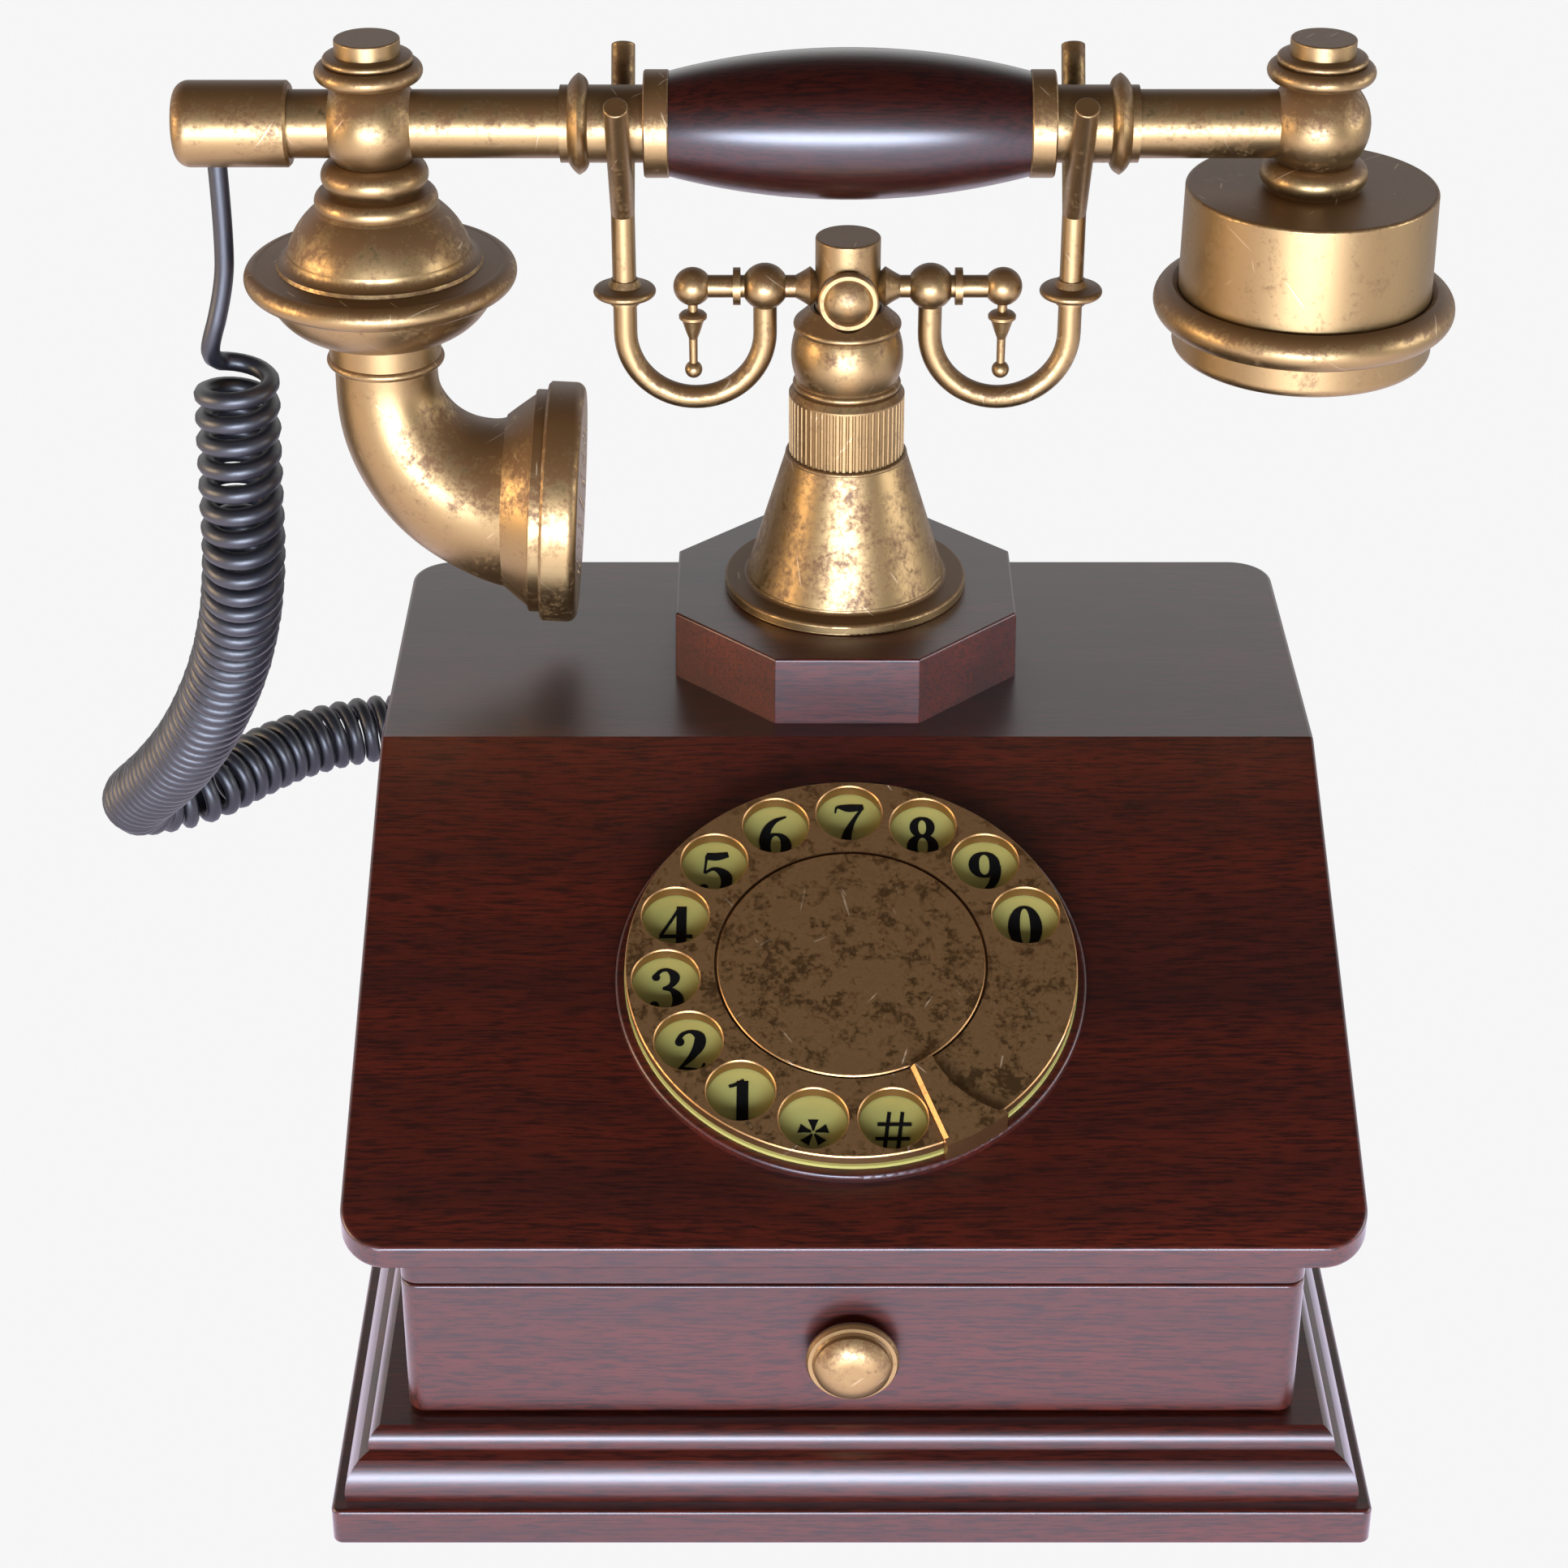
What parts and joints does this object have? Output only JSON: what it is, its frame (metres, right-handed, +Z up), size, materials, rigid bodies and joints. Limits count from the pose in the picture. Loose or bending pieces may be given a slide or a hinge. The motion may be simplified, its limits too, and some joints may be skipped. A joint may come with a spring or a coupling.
{
  "type": "cradle telephone",
  "caption": "Vintage style cradle telephone on a mahogany drawer case, with a sloping dial, a brass column and a lift-off brass and wood handset.",
  "frame": {"origin": "centre of the case's underside", "axes": "+Z up, -Y towards the dial and drawer, +X towards the earpiece"},
  "size_m": [0.3085, 0.3159, 0.2463],
  "materials": {
    "mahogany": "gloss lacquer",
    "plain_wood": "raw sanded",
    "felt": "felt",
    "antique_brass": "antique brushed",
    "dark_brass": "antique satin, lacquered",
    "number_plate": "satin enamel",
    "steel": "plain",
    "black_plastic": "satin",
    "cord_rubber": "satin",
    "circuit_board": "gloss"
  },
  "bodies": {
    "base": {"base_slab": "mahogany", "base_felt": "felt", "base_moulding": "mahogany", "case_floor": "plain_wood", "case_sides": "mahogany", "case_rear": "mahogany", "neck_rail": "mahogany", "drawer_shelf": "plain_wood", "lid_panel": "mahogany", "octagon_block": "mahogany", "column_cone": "antique_brass", "knurled_collar": "antique_brass", "column_ball": "antique_brass", "column_tube": "steel", "dial_bezel": "mahogany", "number_plate": "number_plate", "finger_stop": "antique_brass", "dial_plate": "steel", "gongs": "steel", "gong_posts": "steel", "ringer_coil": "steel", "switch_frame": "steel", "circuit_board": "circuit_board", "base_screws": "steel", "cord_gland": "black_plastic", "line_jack": "black_plastic", "plunger_spring": "steel", "cord_coil": "cord_rubber", "cord_tail": "cord_rubber"},
    "cradle": {"cradle_hub": "antique_brass", "cross_arms": "antique_brass", "hook_rods": "antique_brass", "post_collars": "antique_brass", "pendants": "antique_brass", "plunger_rod": "steel"},
    "handset": {"grip": "mahogany", "ferrules": "antique_brass", "tube_right": "antique_brass", "tube_left": "antique_brass", "joint_balls": "antique_brass", "finials": "antique_brass", "end_cap": "antique_brass", "mouth_bell": "antique_brass", "horn_elbow": "antique_brass", "mouthpiece_cap": "antique_brass", "microphone": "black_plastic", "ear_cup": "antique_brass", "ear_cap": "antique_brass", "receiver": "black_plastic", "cord_lead": "cord_rubber"},
    "finger_wheel": {"finger_wheel": "dark_brass", "dial_centre": "dark_brass", "dial_shaft": "steel"},
    "governor": {"governor": "steel"},
    "drawer": {"drawer_front": "mahogany", "drawer_box": "plain_wood", "drawer_knob": "antique_brass"},
    "hook_lever": {"hook_lever": "steel"},
    "clapper": {"clapper": "steel"}
  },
  "joints": [
    {"name": "handset_lift", "type": "slide", "parent": "base", "child": "handset", "axis": [0, 0, 1], "range_m": [0, 0.15], "deforming": ["cord_coil"]},
    {"name": "cradle_hook", "type": "slide", "parent": "base", "child": "cradle", "axis": [0, 0, 1], "range_m": [0, 0.0041], "deforming": ["plunger_spring"]},
    {"name": "hook_switch", "type": "hinge", "parent": "base", "child": "hook_lever", "pos_m": [0.016, 0.0556, 0.092], "axis": [0, 1, 0], "range_deg": [0, 13.2]},
    {"name": "dial_turn", "type": "hinge", "parent": "base", "child": "finger_wheel", "pos_m": [0, -0.0403, 0.09015], "axis": [0, 0.3897, -0.9209], "range_deg": [0, 328], "stiffness_Nm_per_rad": 0.01, "springref_deg": -34.38},
    {"name": "governor_spin", "type": "hinge", "parent": "base", "child": "governor", "pos_m": [0, -0.01249, 0.10192], "axis": [0, 0.3897, -0.9209], "range_deg": [-1315, 0]},
    {"name": "drawer_slide", "type": "slide", "parent": "base", "child": "drawer", "axis": [0, -1, 0], "range_m": [0, 0.11]},
    {"name": "clapper_swing", "type": "hinge", "parent": "base", "child": "clapper", "pos_m": [0, 0.042, 0.062], "axis": [0, 0, 1], "range_deg": [-4, 4]}
  ],
  "couplings": [
    {"joint": "cradle_hook", "follows": "handset_lift", "ratio": 0.02667},
    {"joint": "hook_switch", "follows": "handset_lift", "rad_per_m": 1.51},
    {"joint": "governor_spin", "follows": "dial_turn", "ratio": -4}
  ]
}
